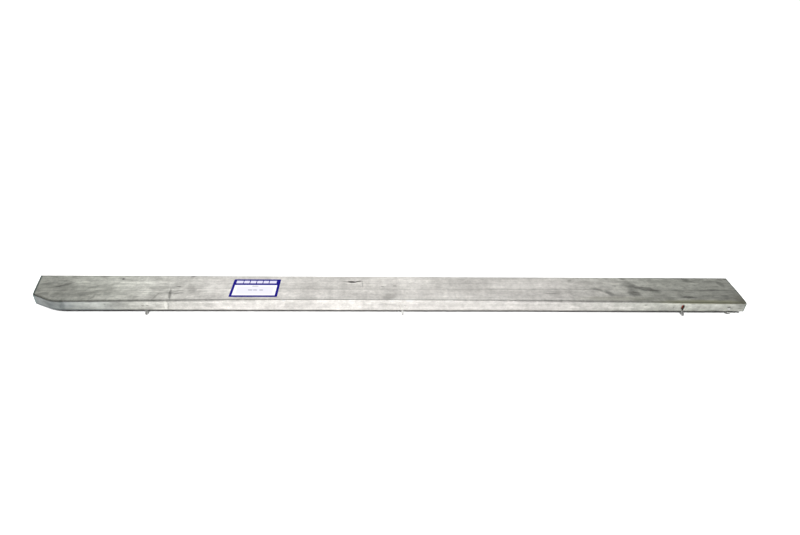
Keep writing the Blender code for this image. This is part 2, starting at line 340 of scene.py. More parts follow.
# Dirt, stains and scuffs on the top face: X, distance from the front edge, half length, half width,
# lean in degrees, how dark
TOP_MARKS = [
    (-0.4485, 0.0610, 0.0022, 0.0024, 0, 0.75),
    (-0.3290, 0.0330, 0.0085, 0.0150, 15, 0.20),
    (-0.3170, 0.0290, 0.0070, 0.0150, 0, 0.09),
    (-0.3507, 0.0386, 0.0030, 0.0025, 0, 0.33),
    (-0.3470, 0.0270, 0.0080, 0.0016, 20, 0.24),
    (-0.3460, 0.0200, 0.0085, 0.0014, 20, 0.24),
    (-0.3590, 0.0160, 0.0026, 0.0150, 14, 0.36),
    (-0.3807, 0.0106, 0.0020, 0.0100, -20, 0.22),
    (-0.3357, 0.0700, 0.0040, 0.0016, 0, 0.45),
    (-0.0476, 0.0480, 0.0006, 0.0105, 0, 0.30),
    (-0.0144, 0.0421, 0.0030, 0.0018, 0, 0.33),
    (0.0063, 0.0423, 0.0032, 0.0018, 0, 0.33),
    (-0.0030, 0.0110, 0.0100, 0.0080, 30, 0.21),
    (0.2700, 0.0226, 0.0140, 0.0012, 0, 0.33),
    (0.3089, 0.0620, 0.0045, 0.0026, 30, 0.27),
    (0.3500, 0.0350, 0.0110, 0.0032, -26, 0.33),
    (0.3660, 0.0240, 0.0085, 0.0050, -50, 0.33),
    (0.3824, 0.0454, 0.0030, 0.0022, 0, 0.30),
    (0.4100, 0.0470, 0.0120, 0.0070, -20, 0.39),
    (0.4320, 0.0370, 0.0220, 0.0060, -18, 0.48),
    (0.4090, 0.0250, 0.0090, 0.0110, 30, 0.33),
    (0.4040, 0.0680, 0.0060, 0.0030, 0, 0.45),
    (0.5000, 0.0126, 0.0130, 0.0024, 4, 0.45),
    (0.5395, 0.0340, 0.0160, 0.0030, 10, 0.21),
    (0.5132, 0.0655, 0.0060, 0.0045, -20, 0.33),
    (0.5442, 0.0600, 0.0180, 0.0060, 0, 0.18),
    (0.5714, 0.0520, 0.0050, 0.0080, 20, 0.27),
    (-0.5620, 0.0480, 0.0150, 0.0055, 12, 0.21),
    (-0.5400, 0.0430, 0.0110, 0.0030, 25, 0.27),
    (-0.5400, 0.0190, 0.0130, 0.0070, 55, 0.24),
    (-0.4791, 0.0110, 0.0018, 0.0090, -12, 0.24),
    (-0.5050, 0.0150, 0.0240, 0.0050, 18, 0.18),
]

# The same on the skirt: X, height, half length, half height, lean in degrees, how dark
SKIRT_MARKS = [
    (-0.5270, 0.0180, 0.0040, 0.0120, 0, 0.33),
    (-0.5480, 0.0180, 0.0130, 0.0060, -20, 0.18),
    (-0.4597, 0.0215, 0.0020, 0.0020, 0, 0.30),
    (-0.3589, 0.0180, 0.0011, 0.0100, 0, 0.22),
    (0.4222, 0.0228, 0.0022, 0.0014, 0, 0.36),
    (0.4684, 0.0168, 0.0014, 0.0014, 0, 0.33),
    (0.5660, 0.0160, 0.0040, 0.0020, 0, 0.12),
    (0.5838, 0.0140, 0.0070, 0.0012, 0, 0.39),
    (-0.0085, 0.0214, 0.0130, 0.0010, 0, 0.12),
    (0.0471, 0.0214, 0.0120, 0.0010, 0, 0.12),
]

# Tone along the capping: X, grey level. On the top, the metal's tone with painted shade towards the ends; on
# the skirt, painted light, brightest in the middle and falling to painted shade at both ends
TOP_TONE_AND_SHADE = [
    (-0.59, 0.80),
    (-0.45, 0.93),
    (-0.30, 0.90),
    (-0.15, 0.97),
    (0.0, 0.935),
    (0.25, 0.80),
    (0.40, 0.93),
    (0.59, 0.84),
]
SKIRT_PAINTED_LIGHT = [
    (-0.59, 0.20),
    (-0.545, 0.27),
    (-0.48, 0.56),
    (-0.30, 0.94),
    (-0.07, 1.0),
    (0.12, 0.82),
    (0.42, 0.74),
    (0.59, 0.56),
]

# Crisp painted shade, the same on either face: the first three in the dent in the top, the last round the slot
# beside the right hook: X, Y, Z, half sizes, lean in degrees, how dark
PAINTED_SHADE_MARKS = [
    ((-0.0655, Y_FRONT + 0.0553, Z_TOP), (0.0078, 0.0021, 0.006), (0, 0, -4), 0.88),
    ((-0.0545, Y_FRONT + 0.0570, Z_TOP), (0.0064, 0.0014, 0.006), (0, 0, 14), 0.76),
    ((-0.0745, Y_FRONT + 0.0562, Z_TOP), (0.0060, 0.0010, 0.006), (0, 0, -6), 0.35),
    ((0.4846, Y_FRONT, 0.0172), (0.0029, 0.004, 0.0050), (0, 8, 0), 0.95),
]

# Light scuffs, and first a painted highlight on the near side of the dent: X, Y, Z, half sizes, lean in
# degrees, how light
SCUFFS_AND_HIGHLIGHT = [
    ((-0.0635, Y_FRONT + 0.0505, Z_TOP), (0.0120, 0.0016, 0.006), (0, 0, 0), 0.34),
    ((-0.3630, Y_FRONT, 0.0170), (0.0022, 0.004, 0.0090), (0, 0, 0), 0.22),
    ((-0.3180, Y_FRONT + 0.0590, Z_TOP), (0.0200, 0.0030, 0.006), (0, 0, 0), 0.10),
    ((-0.5520, Y_FRONT + 0.0335, Z_TOP), (0.0130, 0.0018, 0.006), (0, 0, 8), 0.16),
    ((-0.5560, Y_FRONT + 0.0230, Z_TOP), (0.0110, 0.0022, 0.006), (0, 0, 0), 0.14),
    ((-0.5330, Y_FRONT + 0.0570, Z_TOP), (0.0140, 0.0016, 0.006), (0, 0, 20), 0.16),
    ((-0.5200, Y_FRONT + 0.0500, Z_TOP), (0.0120, 0.0014, 0.006), (0, 0, 15), 0.18),
    ((-0.4900, Y_FRONT + 0.0290, Z_TOP), (0.0090, 0.0020, 0.006), (0, 0, 0), 0.14),
    ((0.3560, Y_FRONT + 0.0230, Z_TOP), (0.0080, 0.0030, 0.006), (0, 0, -30), 0.14),
]

# Painted highlight and shade on the front bend along the capping, and the level that leaves it as it is: X,
# grey level. Above that level the bend is lightened, below it darkened
BEND_HIGHLIGHT_AND_SHADE = [
    (-0.59, 0.20),
    (-0.42, 0.25),
    (-0.15, 0.95),
    (0.10, 1.0),
    (0.28, 0.60),
    (0.45, 0.70),
    (0.59, 0.80),
]
BEND_NEUTRAL_LEVEL = 0.45

# Tints: where they lie and their half sizes
OLIVE_PLACE = (0.520, Y_FRONT - 0.0006, Z_TOP - 0.002), (0.072, 0.0055, 0.005)
FLECK_PLACE = (0.4836, Y_FRONT, 0.0186), (0.0014, 0.004, 0.0034)
SPOTS_PLACE = (0.375, Y_FRONT + 0.008, Z_TOP), (0.060, 0.006, 0.006)
BROWN_PLACE = (X_SQUARE - 0.004, Y_FRONT + 0.008, Z_TOP), (0.012, 0.012, 0.004)
# Dark green painted shade along the cut ends
END_SHADE_COLOUR = (0.075, 0.125, 0.11, 1)
OLIVE_COLOUR = (0.47, 0.47, 0.31, 1)
FLECK_COLOUR = (0.30, 0.045, 0.025, 1)
SPOTS_COLOUR = (0.33, 0.33, 0.22, 1)
BROWN_COLOUR = (0.17, 0.155, 0.11, 1)
BLUE_GREY = (0.30, 0.36, 0.40, 1)
MARK_REACH = 0.009  # how far a mark on the top reaches up and down
SKIRT_MARK_REACH = 0.006


def marked(surface, ragged, tone):
    """Darkens the tone at each stain and at the painted shade, lightens it at scuffs and the painted highlight;
    gives back the tone and a mask of all the stains and painted shade.
    """
    dirt_and_shade = 0.0
    for x, depth, half_length, half_width, lean, dark in TOP_MARKS:
        middle = (x, Y_FRONT + depth, Z_TOP)
        mask = surface.ellipse(ragged, middle, (half_length, half_width, MARK_REACH), (0, 0, lean))
        dirt_and_shade = surface.math("MAXIMUM", dirt_and_shade, surface.times(mask, dark))
    for x, height, half_length, half_height, lean, dark in SKIRT_MARKS:
        middle = (x, Y_FRONT, height)
        mask = surface.ellipse(ragged, middle, (half_length, SKIRT_MARK_REACH, half_height), (0, lean, 0))
        dirt_and_shade = surface.math("MAXIMUM", dirt_and_shade, surface.times(mask, dark))
    # Painted shade in the dent and round the slot
    for middle, half_size, lean, dark in PAINTED_SHADE_MARKS:
        mask = surface.ellipse(surface.place, middle, half_size, lean, feather=0.35)
        dirt_and_shade = surface.math("MAXIMUM", dirt_and_shade, surface.times(mask, dark))
    # Lighter at the scuffs and at the painted highlight by the dent
    for middle, half_size, lean, light in SCUFFS_AND_HIGHLIGHT:
        mask = surface.ellipse(ragged, middle, half_size, lean)
        tone = surface.raised(tone, surface.times(mask, light))
    return surface.lowered(tone, dirt_and_shade), dirt_and_shade


def worn(surface, tone, mottle, off_middle):
    """Speckles, scuffs, scratches and soil: more of them towards both ends."""
    calm = surface.remap(off_middle, 0.15, 0.45, 0.5, 1)
    tone = surface.raised(tone, surface.times(surface.remap(mottle, 0.30, 0.70, -0.16, 0.10), calm))
    speckle = surface.noise((150, 170, 170), 3, 0.7, shift=1.3)
    tone = surface.times(tone, surface.remap(speckle, 0.30, 0.70, 0.89, 1.09))
    scuffs = surface.noise((60, 14, 60), 3, 0.6, shift=5.5, turn=28)
    tone = surface.times(tone, surface.remap(scuffs, 0.30, 0.70, 0.91, 1.05))
    scratches = surface.noise((30, 210, 210), 2, 0.6, shift=4.4, turn=24)
    scratched = surface.remap(scratches, 0.55, 0.72, 0, 1)
    scratched = surface.times(scratched, surface.remap(off_middle, 0.2, 0.5, 0.08, 0.26))
    tone = surface.raised(tone, scratched, 0.99)
    soil = surface.noise((42, 95, 95), 4, 0.65, shift=2.2, turn=-20)
    soiled = surface.remap(soil, 0.45, 0.68, 0, 1)
    soiled = surface.times(soiled, surface.remap(off_middle, 0.15, 0.55, 0.05, 0.34))
    return surface.lowered(tone, soiled, 1.02)


def darkened_bends_and_edge(surface, tone, off_middle):
    """Darker in the rear bend, with painted shade in the crease and along the skirt's cut edge, deepest round
    the chamfer.
    """
    x, y, z = surface.axes()
    tone = surface.times(tone, surface.remap(y, Y_REAR - 0.0032, Y_REAR - 0.0008, 1.0, 0.45))
    # Painted shade in the crease
    off_crease = surface.math("ABSOLUTE", surface.math("SUBTRACT", y, CREASE_Y))
    in_crease = surface.remap(off_crease, 0.0004, CREASE_HALF_WIDTH, 1, 0)
    tone = surface.lowered(tone, surface.times(in_crease, surface.remap(x, -0.45, 0.45, 0.08, 0.28)))
    # Painted shade along the skirt's lower edge, stronger towards the ends
    edge_height = surface.remap(x, -0.550, -0.520, 0.0036, 0.0022)
    low_edge = surface.math("DIVIDE", surface.math("SUBTRACT", z, Z_SKIRT), edge_height)
    low_edge = surface.remap(low_edge, 0.25, 1, 1, 0)
    return surface.lowered(tone, surface.times(low_edge, surface.remap(off_middle, 0.20, 0.52, 0.25, 0.68)))


def shaded_end_rims(surface):
    """A mask of the painted shade along the two cut ends."""
    x, y, _ = surface.axes()
    from_slant = surface.math("SUBTRACT", x, surface.times(y, END_SLOPE))
    slant_place = X_CHAMFER - Y_CHAMFER * END_SLOPE
    shaped_rim = surface.remap(from_slant, slant_place + 0.0014, slant_place + 0.0040, 0.9, 0)
    square_rim = surface.remap(x, X_SQUARE - 0.0026, X_SQUARE - 0.0006, 0, 0.6)
    return surface.math("MAXIMUM", shaped_rim, square_rim)


def tinted(surface, colour, ragged, facing, front, mottle):
    """Olive by the right of the front fold, a red-brown fleck, brown at the corner, blue-grey on the left."""
    olive = surface.times(surface.ellipse(ragged, *OLIVE_PLACE), surface.remap(facing, 0.05, 0.30, 0, 0.75))
    colour = surface.mix(olive, colour, OLIVE_COLOUR)
    fleck = surface.ellipse(surface.place, *FLECK_PLACE)
    colour = surface.mix(surface.times(fleck, 0.75), colour, FLECK_COLOUR)
    spots = surface.ellipse(ragged, *SPOTS_PLACE)
    colour = surface.mix(surface.times(spots, 0.22), colour, SPOTS_COLOUR)
    brown = surface.ellipse(ragged, *BROWN_PLACE)
    colour = surface.mix(surface.times(brown, 0.5), colour, BROWN_COLOUR)
    x = surface.axes()[0]
    blue = surface.times(front, surface.remap(x, -0.50, -0.40, 0.40, 0))
    return surface.mix(surface.times(blue, mottle), colour, BLUE_GREY)


def galvanised_sheet():
    """Dull rolled zinc: cloudy tone, faint lines along the sheet, small spangle, stains, painted light and
    shade along the capping and its bends, and painted shade along the cut ends.
    """
    surface = Surface("galvanised_sheet", 0.95)
    x = surface.axes()[0]
    off_middle = surface.math("ABSOLUTE", x)
    facing = surface.axes(surface.nodes.new("ShaderNodeNewGeometry").outputs["Normal"])[2]
    front = surface.remap(facing, 0.2, 0.8, 1, 0)
    wander = surface.vector("SUBTRACT", surface.noise((75, 75, 75), coloured=True), (0.5, 0.5, 0.5))
    ragged = surface.vector("ADD", surface.place, surface.vector("SCALE", wander, 0.009))
    clouds = surface.noise((9, 24, 24), 4, 0.55)
    mottle = surface.noise((34, 80, 80), 5, 0.65, shift=3.1)
    lines = surface.noise((2.6, 300, 300), 3, 0.6, shift=7.7)
    grain = surface.noise((700, 900, 900), 2, 0.5)

    # Painted light: the skirt and the top take their own tone curves by which way they face
    tone = surface.mix(front, surface.curve(x, TOP_TONE_AND_SHADE), surface.curve(x, SKIRT_PAINTED_LIGHT))
    tone = surface.times(tone, surface.remap(clouds, 0.30, 0.70, 0.90, 1.07))
    tone = surface.times(tone, surface.remap(lines, 0.30, 0.70, 0.90, 1.07))
    tone = surface.times(tone, surface.remap(grain, 0.30, 0.70, 0.96, 1.03))
    tone = surface.times(tone, surface.remap(surface.cells(190), 0, 1, 0.98, 1.02, "LINEAR"))
    tone = worn(surface, tone, mottle, off_middle)
    # Painted highlight in the middle of the front bend and painted shade towards its ends
    bend = surface.times(surface.remap(facing, 0.03, 0.25, 0, 1), surface.remap(facing, 0.7, 0.97, 1, 0))
    bend_highlight_and_shade = surface.math("SUBTRACT", surface.curve(x, BEND_HIGHLIGHT_AND_SHADE), BEND_NEUTRAL_LEVEL)
    tone = surface.raised(tone, surface.times(bend, bend_highlight_and_shade))
    tone, dirt_and_shade = marked(surface, ragged, tone)
    tone = darkened_bends_and_edge(surface, tone, off_middle)

    zinc = surface.mix(surface.remap(off_middle, 0.25, 0.50, 0, 1), WARM_ZINC, GREEN_ZINC)
    # Painted shade along the two cut ends
    colour = surface.mix(shaded_end_rims(surface), surface.vector("SCALE", zinc, tone), END_SHADE_COLOUR)
    colour = tinted(surface, colour, ragged, facing, front, mottle)
    roughness = surface.math("ADD", surface.remap(clouds, 0.3, 0.7, 0.44, 0.36), surface.times(dirt_and_shade, 0.35))
    surface.bump(surface.math("ADD", surface.times(lines, 0.5), surface.times(grain, 0.5)), 0.00008, 0.5)
    return surface.finish(colour, roughness)


def galvanised_fixing():
    """Pressed and plated small parts: finer grain and a mottled tone."""
    surface = Surface("galvanised_fixing", 0.95)
    mottle = surface.noise((160, 160, 160), 4, 0.6)
    grain = surface.noise((1400, 1400, 1400), 2)
    tone = surface.remap(mottle, 0.3, 0.7, 0.70, 1.0)
    tone = surface.times(tone, surface.remap(grain, 0.3, 0.7, 0.94, 1.04))
    surface.bump(mottle, 0.0001, 0.4)
    roughness = surface.remap(mottle, 0.3, 0.7, 0.46, 0.34)
    return surface.finish(surface.vector("SCALE", (0.62, 0.62, 0.60), tone), roughness)


def welded_metal():
    """Weld metal: dark, with straw and blue heat colours."""
    surface = Surface("weld_metal", 0.95)
    patches = surface.noise((120, 120, 120), 3, 0.6)
    fine = surface.noise((900, 900, 900))
    colour = surface.mix(surface.remap(patches, 0.35, 0.65, 0, 1), (0.34, 0.32, 0.27, 1), (0.24, 0.26, 0.31, 1))
    colour = surface.vector("SCALE", colour, surface.remap(fine, 0.3, 0.7, 0.8, 1.1))
    surface.bump(fine, 0.0001, 0.6)
    return surface.finish(colour, surface.remap(fine, 0.3, 0.7, 0.45, 0.62))


# ---------------------------------------------------------------- printed label

BLUE = (0.004, 0.001, 0.15, 1)
PAPER = (0.66, 0.65, 0.68, 1)
INNER_PAPER = (0.57, 0.565, 0.63, 1)
WHITE_PRINT = (0.52, 0.51, 0.62, 1)
GREY_PRINT = (0.10, 0.10, 0.15, 1)
# The print stands a little further right and back than its node
LABEL_MIDDLE = (LABEL_LOW + LABEL_HIGH) / 2 + Vector((0.0002, 0.0010, 0))
LABEL_HALF = (LABEL_HIGH - LABEL_LOW) / 2 + Vector((0.0010, 0.0008, 0))
BORDER = 0.0041  # at the front
SIDE_BORDER = 0.0042
HEADER_DEPTH = 0.0176
HEADER_BAR_DROP = 0.0084  # from the label's rear edge to the middle of the bars
PALE_MARGIN = 0.0050  # from the border to the greyer inner field, at the sides
PALE_MARGIN_ENDS = 0.0045  # the same in front and behind
EDGE = 0.00012  # softness of the print
# Blank bars of print. In the header: middle in X and half length
HEADER_BARS = [
    (-0.0285, 0.0056),
    (-0.0170, 0.0046),
    (-0.0062, 0.0048),
    (0.0047, 0.0047),
    (0.0152, 0.0044),
    (0.0268, 0.0058),
]
HEADER_BAR_HEIGHT = 0.0039
# Below it: middle in X and Y, half length and half height
GREY_BARS = [
    (-0.0010, 0.0052, 0.0050, 0.0006),
    (-0.0075, -0.0064, 0.0034, 0.0009),
    (0.0005, -0.0064, 0.0032, 0.0009),
    (0.0105, -0.0064, 0.0030, 0.0009),
]


def bar(surface, x, y, middle_x, middle_y, half_x, half_y):
    """1 inside a rectangle of print and 0 outside it."""
    across = surface.math("ABSOLUTE", surface.math("SUBTRACT", x, LABEL_MIDDLE.x + middle_x))
    along = surface.math("ABSOLUTE", surface.math("SUBTRACT", y, LABEL_MIDDLE.y + middle_y))
    inside_x = surface.remap(across, half_x - EDGE, half_x + EDGE, 1, 0)
    inside_y = surface.remap(along, half_y - EDGE, half_y + EDGE, 1, 0)
    return surface.times(inside_x, inside_y)


def printed_label():
    """Blank generic print: a blue border and header, white bars in the header and a few grey dashes."""
    surface = Surface("printed_label", 0.0)
    surface.shader.inputs["Specular IOR Level"].default_value = 0.05
    fibres = surface.noise((1500, 1500, 1500))
    x, y, _ = surface.axes()
    field_top = LABEL_HALF.y - HEADER_DEPTH
    field_middle = (field_top - LABEL_HALF.y + BORDER) / 2
    field_half = (field_top + LABEL_HALF.y - BORDER) / 2
    field = bar(surface, x, y, 0, field_middle, LABEL_HALF.x - SIDE_BORDER, field_half)
    inner_x = LABEL_HALF.x - SIDE_BORDER - PALE_MARGIN
    inner = bar(surface, x, y, 0, field_middle, inner_x, field_half - PALE_MARGIN_ENDS)
    paper = surface.mix(inner, PAPER, INNER_PAPER)
    colour = surface.mix(field, BLUE, paper)
    for middle, half in HEADER_BARS:
        mask = bar(surface, x, y, middle, LABEL_HALF.y - HEADER_BAR_DROP, half, HEADER_BAR_HEIGHT)
        colour = surface.mix(mask, colour, WHITE_PRINT)
    for middle_x, middle_y, half_x, half_y in GREY_BARS:
        mask = bar(surface, x, y, middle_x, middle_y, half_x, half_y)
        colour = surface.mix(mask, colour, GREY_PRINT)
    colour = surface.vector("SCALE", colour, surface.remap(fibres, 0.3, 0.7, 0.96, 1.02))
    surface.bump(fibres, 0.00003, 0.4)
    return surface.finish(colour, surface.remap(fibres, 0.3, 0.7, 0.42, 0.5))


SHEET_METAL = galvanised_sheet()
FIXING_METAL = galvanised_fixing()
WELD_METAL = welded_metal()
LABEL_PRINT = printed_label()

# ---------------------------------------------------------------- openings through the skirt

HOLE_RADIUS = 0.0017
SLOT_WIDTH = 0.0026
SLOT_HEIGHT = 0.0084
SLOT_MIDDLE = 0.0145
SLOT_OFFSET = -0.0022
SLOT_LEAN = math.radians(12)
CUT_DEPTH = 0.012


def middle_of(node):
    low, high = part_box(node)
    return (low + high) / 2


def openings_cutter():
    """One object with a round hole for each rivet and the empty leaning slot beside the right hook's rivet."""
    bm = bmesh.new()
    facing = Matrix.Rotation(math.radians(90), 4, "X")
    for node in (*HOOK_RIVETS, TAB_RIVET):
        centre = middle_of(node)
        bmesh.ops.create_cone(
            bm,
            cap_ends=True,
            segments=24,
            radius1=HOLE_RADIUS,
            radius2=HOLE_RADIUS,
            depth=CUT_DEPTH,
            matrix=Matrix.Translation((centre.x, Y_FRONT, centre.z)) @ facing,
        )
    radius = SLOT_WIDTH / 2
    straight = SLOT_HEIGHT / 2 - radius
    place = Matrix.Translation((middle_of("tie_hook_right").x + SLOT_OFFSET, Y_FRONT, SLOT_MIDDLE)) @ facing
    place = place @ Matrix.Rotation(-SLOT_LEAN, 4, "Z")
    outline = []
    for end, start in ((1, 0), (-1, math.pi)):
        for angle in steps(start, start + math.pi, 10):
            outline.append((radius * math.cos(angle), end * straight + radius * math.sin(angle)))
    near = [bm.verts.new(place @ Vector((x, y, CUT_DEPTH / 2))) for x, y in outline]
    far = [bm.verts.new(place @ Vector((x, y, -CUT_DEPTH / 2))) for x, y in outline]
    for index in range(len(outline)):
        following = (index + 1) % len(outline)
        bm.faces.new((near[index], near[following], far[following], far[index]))
    bm.faces.new(near)
    bm.faces.new(far)
    bmesh.ops.recalc_face_normals(bm, faces=bm.faces)
    return place_object("openings", mesh_from(bm, "openings"), FIXING_METAL)


# ---------------------------------------------------------------- folded panel

SEAM_GAP = 0.00012
TOP_INSET = BEND_RADIUS + SEAM_GAP  # the top face starts where the corner strip's bend ends
QUARTER = steps(0, math.pi / 2, 8)
DENT_X = -0.0640
DENT_Y = Y_FRONT + 0.0548
DENT_HALF_LENGTH = 0.0125
DENT_RISE = 0.0030  # how far the dent's ends lie behind its middle
DENT_DEPTH = 0.0005
DENT_NEAR = 0.0026
DENT_FAR = 0.0017
SLOW_WAVE = 0.00010
QUICK_WAVE = 0.00002
X_ALIGN = X_SEAM + 0.03  # from here on all rows share their columns


def slanted_end(y):
    """Where the slanted end lies at this depth."""
    return X_CHAMFER + END_SLOPE * (y - Y_CHAMFER)


def row_start(y):
    """Where the sheet starts at this depth: at the seam, behind the corner strip, or at the slanted end."""
    if y < Y_FRONT + TOP_INSET:
        return X_SEAM
    radius = CHAMFER_RADIUS - TOP_INSET
    below = Y_FRONT + CHAMFER_RADIUS - y
    if below > radius * math.cos(CHAMFER_ANGLE):
        x = X_SEAM - math.sqrt(radius**2 - below**2)
    else:
        beyond = radius * math.cos(CHAMFER_ANGLE) - below
        x = X_SEAM - radius * math.sin(CHAMFER_ANGLE) - beyond / math.tan(CHAMFER_ANGLE)
    return max(x, slanted_end(y))


def top_rows():
    """Depths of the rows across the flat of the top face, closer where it curves."""
    near, far = Y_FRONT + TOP_INSET, Y_REAR - REAR_RADIUS
    rows = [near + 0.0001 * step**2 for step in range(6)]
    rows += steps(near + 0.004, far - 0.001, 26)
    rows += [CREASE_Y + offset * CREASE_HALF_WIDTH for offset in (-1, -0.6, -0.3, 0, 0.3, 0.6, 1)]
    rows += steps(DENT_Y - 0.004, DENT_Y + 0.006, 12)
    spaced = []
    for y in sorted(rows):
        if not spaced or y - spaced[-1] > 0.0004 or y < near + 0.0005:
            spaced.append(y)
    return spaced


def panel_profile():
    """The outer surface across the capping, from the skirt's edge to the lip's: y, z and the normal's y, z."""
    profile = [(Y_FRONT, z, -1, 0) for z in steps(Z_SKIRT, Z_TOP - BEND_RADIUS, 8)[:-1]]
    for angle in QUARTER:
        y = Y_FRONT + BEND_RADIUS * (1 - math.cos(angle))
        z = Z_TOP - BEND_RADIUS * (1 - math.sin(angle))
        profile.append((y, z, -math.cos(angle), math.sin(angle)))
    profile += [(y, Z_TOP, 0, 1) for y in top_rows()]
    for angle in QUARTER:
        y = Y_REAR - REAR_RADIUS * (1 - math.sin(angle))
        z = Z_TOP - REAR_RADIUS * (1 - math.cos(angle))
        profile.append((y, z, math.sin(angle), math.cos(angle)))
    profile += [(Y_REAR, z, 1, 0) for z in steps(Z_TOP - REAR_RADIUS, 0, 10)[1:]]
    return profile


def dent(x, y):
    """Depth of the crescent-shaped knock in the top face."""
    along = (x - DENT_X) / DENT_HALF_LENGTH
    if abs(along) >= 1:
        return 0
    off = y - DENT_Y - DENT_RISE * along**2
    width = DENT_NEAR if off < 0 else DENT_FAR
    return DENT_DEPTH * (1 - along**2) ** 2 * math.exp(-((off / width) ** 2))


def crease(y):
    return CREASE_DEPTH * ease(1 - abs(y - CREASE_Y) / CREASE_HALF_WIDTH)


def waviness(x, across):
    """The sheet is never quite flat; across is the distance round its profile."""
    slow = noise.noise(Vector((x * 7, across * 9, 0.3)))
    quick = noise.noise(Vector((x * 34, across * 40, 5.1)))
    return SLOW_WAVE * slow + QUICK_WAVE * quick


def panel_columns(start):
    """Places along a row, closer near the shaped end and at the dent."""
    columns = steps(start, X_ALIGN, 20)[:-1]
    columns += steps(X_ALIGN, DENT_X - DENT_HALF_LENGTH, 70)[:-1]
    columns += steps(DENT_X - DENT_HALF_LENGTH, DENT_X + DENT_HALF_LENGTH, 24)[:-1]
    columns += steps(DENT_X + DENT_HALF_LENGTH, X_SQUARE, 108)
    return columns


def surface_point(x, y, z, normal_y, normal_z, across, start):
    """One point of the panel, moved along the normal by waves, crease and dent."""
    lift = waviness(x, across) * ease((x - start) / 0.03) - (SLOW_WAVE + QUICK_WAVE)
    if normal_z == 1:
        lift -= crease(y) + dent(x, y)
    return Vector((x, y + lift * normal_y, z + lift * normal_z))


def folded_panel(openings):
    rows = []
    across = 0
    previous = None
    for y, z, normal_y, normal_z in panel_profile():
        if previous:
            across += math.hypot(y - previous[0], z - previous[1])
        previous = (y, z)
        start = row_start(y)
        rows.append([surface_point(x, y, z, normal_y, normal_z, across, start) for x in panel_columns(start)])
    panel = sheet_piece("folded_panel", rows, DOWN, SHEET_METAL, openings)
    ease_rims(panel, 0.00022)
    own(panel, "capping_panel")


# ---------------------------------------------------------------- corner strip and its welds

ARC_STEPS = 22
LINE_STEPS = 16
BEAD_RADIUS = 0.0012
BEAD_RING = 14
BEAD_SPACING = 0.00035


def corner_path(inset):
    """Points round the chamfered corner in plan, this far inside it, from the seam to the slanted end."""
    radius = CHAMFER_RADIUS - inset
    centre_y = Y_FRONT + CHAMFER_RADIUS
    path = []
    for angle in steps(SEAM_GAP / radius, CHAMFER_ANGLE, ARC_STEPS):
        path.append(Vector((X_SEAM - radius * math.sin(angle), centre_y - radius * math.cos(angle))))
    turn = path[-1].copy()
    ahead = Vector((-math.cos(CHAMFER_ANGLE), math.sin(CHAMFER_ANGLE)))
    reach = (turn.x - slanted_end(turn.y)) / (END_SLOPE * ahead.y - ahead.x)
    path += [turn + ahead * distance for distance in steps(0, reach, LINE_STEPS)[1:]]
    return path


def corner_strip():
    """The strip that carries skirt and bend round the chamfer."""
    sink = SLOW_WAVE + QUICK_WAVE
    profile = [(sink, z) for z in steps(Z_SKIRT, Z_TOP - BEND_RADIUS, 8)[:-1]]
    for angle in QUARTER:
        reach = BEND_RADIUS - sink
        inset = BEND_RADIUS - reach * math.cos(angle)
        profile.append((inset, Z_TOP - BEND_RADIUS + reach * math.sin(angle)))
    rows = [[Vector((*point, z)) for point in corner_path(inset)] for inset, z in profile]
    strip = sheet_piece("corner_strip", rows, INWARD, SHEET_METAL)
    ease_rims(strip, 0.00018)
    own(strip, "corner_skirt")


def evenly(guide, spacing):
    """Points at an even spacing along a guide line."""
    points = []
    for first, second in zip(guide, guide[1:]):
        count = max(1, round((second - first).length / spacing))
        points += [first.lerp(second, step / count) for step in range(count)]
    return points + [guide[-1]]


def weld_bead(name, guide, node):
    """A rippled bead along a guide line: overlapping scales, a little uneven."""
    path = evenly(guide, BEAD_SPACING)
    rows = []
    length = 0
    for index, point in enumerate(path):
        before, after = path[max(index - 1, 0)], path[min(index + 1, len(path) - 1)]
        length += (point - before).length
        forward = (after - before).normalized()
        side = forward.cross(DOWN if abs(forward.z) < 0.5 else INWARD).normalized()
        upward = side.cross(forward)
        taper = ease(min(index, len(path) - 1 - index) / 4 + 0.3)
        scale = 0.80 + 0.14 * abs(math.sin(length * 2100)) + 0.06 * noise.noise(point * 900)
        radius = BEAD_RADIUS * scale * taper
        ring = []
        for angle in steps(0, 2 * math.pi, BEAD_RING)[:-1]:
            ring.append(point + radius * (side * math.cos(angle) + upward * math.sin(angle)))
        rows.append(ring)
    bead = place_object(name, grid_mesh(name, rows, DOWN, closed=True), WELD_METAL)
    bead.data.shade_smooth()
    own(bead, node)


def corner_beads():
    height = middle_of("corner_weld_top").z
    inset = SHEET + GAP + BEAD_RADIUS
    guide = [Vector((*point, height)) for point in corner_path(inset)[2:-1]]
    weld_bead("corner_bead_top", guide, "corner_weld_top")
    middle = middle_of("corner_weld_seam")
    low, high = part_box("corner_weld_seam")
    guide = [Vector((middle.x, middle.y, z)) for z in (low.z, high.z)]
    weld_bead("corner_bead_seam", guide, "corner_weld_seam")


# ---------------------------------------------------------------- hooks, tab and rivets

HOOK_REACH = Y_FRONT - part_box("tie_hook_left")[0].y
PLATE_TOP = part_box("tie_hook_left")[1].z
PLATE_HALF = 0.0070  # half widths, from the plate down to the tip
NECK_HALF = {"left": 0.0022, "middle": 0.0022, "right": 0.0040}
NECK_END = 0.0062
TIP_LOW = 0.0016  # height of the prongs' tips
PRONG_HALF = 0.0018
TIP_HALF = 0.0015
TIP_RISE = 0.0007
HOOK_BEND = Z_SKIRT - SHEET / 2
HOOK_FILLET = 0.0014
TAB_FILLET = 0.0005
FOOT_ROUND = 0.0022
TAB_HALF = 0.0045
TAB_SHIFT = 0.0026  # the tab sits this far to the right of its node
TOE_SHORT = 0.0016  # and its foot reaches this much less
RIM = 0.0002


